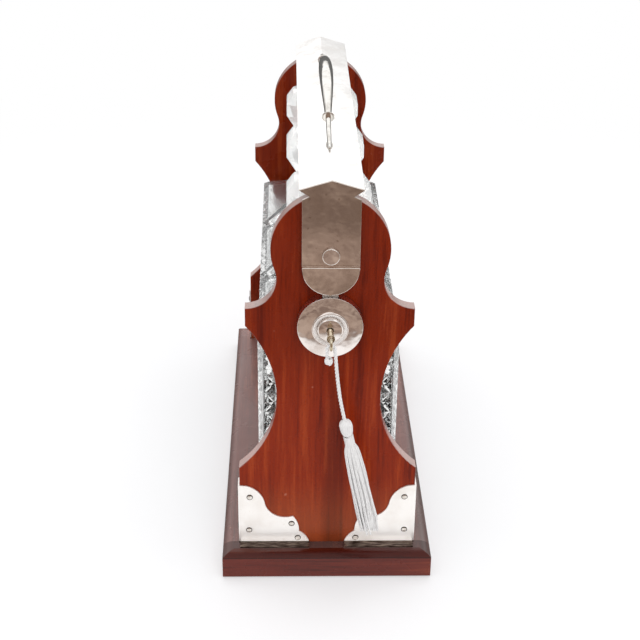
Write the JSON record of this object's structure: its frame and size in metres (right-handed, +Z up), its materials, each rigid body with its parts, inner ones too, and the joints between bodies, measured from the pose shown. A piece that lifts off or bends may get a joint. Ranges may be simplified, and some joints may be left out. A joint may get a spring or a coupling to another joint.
{
  "type": "antique tantalus",
  "caption": "Locking wooden stand with a hinged plated bar that holds square cut-glass decanters by their stoppers, with a drum lock, key and tassel.",
  "frame": {"origin": "centre of the base's underside", "axes": "+X along the row of decanters towards the lock, +Y across the row, +Z up"},
  "size_m": [0.4059, 0.16, 0.3491],
  "materials": {
    "carcass_wood": "polished mahogany",
    "core_wood": "bare",
    "baize": "felted",
    "silver_plate": "polished, lightly worn",
    "steel": "dull",
    "brass": "worn",
    "silk": "satin thread",
    "cut_glass": "cut and polished"
  },
  "bodies": {
    "root": {"base_board": "carcass_wood", "base_baize": "baize", "well_baize": "baize", "lock_end_panel": "carcass_wood", "hinge_end_panel": "carcass_wood", "panel_screws": "steel", "corner_bracket_1": "silver_plate", "corner_bracket_2": "silver_plate", "corner_bracket_3": "silver_plate", "corner_bracket_4": "silver_plate", "bracket_pins": "silver_plate", "lock_case": "silver_plate", "escutcheon": "silver_plate", "lock_screws": "steel", "hinge_panel_leaf": "brass", "hinge_panel_screws": "steel", "hinge_pin": "steel"},
    "bar": {"bar_cover": "silver_plate", "bar_core": "core_wood", "bar_end_cap": "silver_plate", "hasp_plate": "silver_plate", "hasp_front_plate": "silver_plate", "hasp_rivets": "steel", "spring_bridge": "steel", "button_spring": "steel", "handle": "silver_plate", "handle_screws": "steel", "hinge_bar_leaf": "brass", "hinge_bar_screws": "steel"},
    "button": {"push_button": "silver_plate"},
    "plug": {"lock_plug": "silver_plate"},
    "bolt": {"lock_bolt": "steel"},
    "key": {"key": "brass"},
    "tassel": {"cord_knot": "silk", "tassel_cord": "silk", "tassel_head": "silk", "tassel_band": "silk", "tassel_skirt": "silk"},
    "decanter_a": {"decanter_1": "cut_glass"},
    "decanter_b": {"decanter_2": "cut_glass"},
    "decanter_c": {"decanter_3": "cut_glass"},
    "stopper_a": {"stopper_1": "cut_glass"},
    "stopper_b": {"stopper_2": "cut_glass"},
    "stopper_c": {"stopper_3": "cut_glass"}
  },
  "joints": [
    {"name": "bar_lift", "type": "hinge", "parent": "root", "child": "bar", "pos_m": [-0.1786, 0, 0.3051], "axis": [0, -1, 0], "range_deg": [0, 95]},
    {"name": "button_press", "type": "slide", "parent": "bar", "child": "button", "axis": [-1, 0, 0], "range_m": [0, 0.0018], "stiffness_N_per_m": 900, "deforming": ["button_spring"]},
    {"name": "key_turn", "type": "hinge", "parent": "root", "child": "plug", "pos_m": [0.18, 0, 0.2125], "axis": [1, 0, 0], "range_deg": [0, 90]},
    {"name": "bolt_throw", "type": "slide", "parent": "root", "child": "bolt", "axis": [0, -1, 0], "range_m": [0, 0.003]},
    {"name": "key_withdraw", "type": "slide", "parent": "plug", "child": "key", "axis": [1, 0, 0], "range_m": [0, 0.02]},
    {"name": "tassel_hang", "type": "hinge", "parent": "key", "child": "tassel", "pos_m": [0.2065, 0, 0.20835], "axis": [1, 0, 0], "range_deg": [-90, 0]},
    {"name": "decanter_lift_a", "type": "slide", "parent": "root", "child": "decanter_a", "axis": [0, 0, 1], "range_m": [0, 0.005]},
    {"name": "stopper_turn_a", "type": "hinge", "parent": "decanter_a", "child": "stopper_a", "pos_m": [-0.105, 0, 0.26], "axis": [0, 0, 1], "continuous": true},
    {"name": "decanter_lift_b", "type": "slide", "parent": "root", "child": "decanter_b", "axis": [0, 0, 1], "range_m": [0, 0.005]},
    {"name": "stopper_turn_b", "type": "hinge", "parent": "decanter_b", "child": "stopper_b", "pos_m": [0, 0, 0.26], "axis": [0, 0, 1], "continuous": true},
    {"name": "decanter_lift_c", "type": "slide", "parent": "root", "child": "decanter_c", "axis": [0, 0, 1], "range_m": [0, 0.005]},
    {"name": "stopper_turn_c", "type": "hinge", "parent": "decanter_c", "child": "stopper_c", "pos_m": [0.105, 0, 0.26], "axis": [0, 0, 1], "continuous": true}
  ],
  "couplings": [
    {"joint": "bolt_throw", "follows": "key_turn", "m_per_rad": 0.0019098},
    {"joint": "tassel_hang", "follows": "key_turn", "ratio": -1}
  ]
}
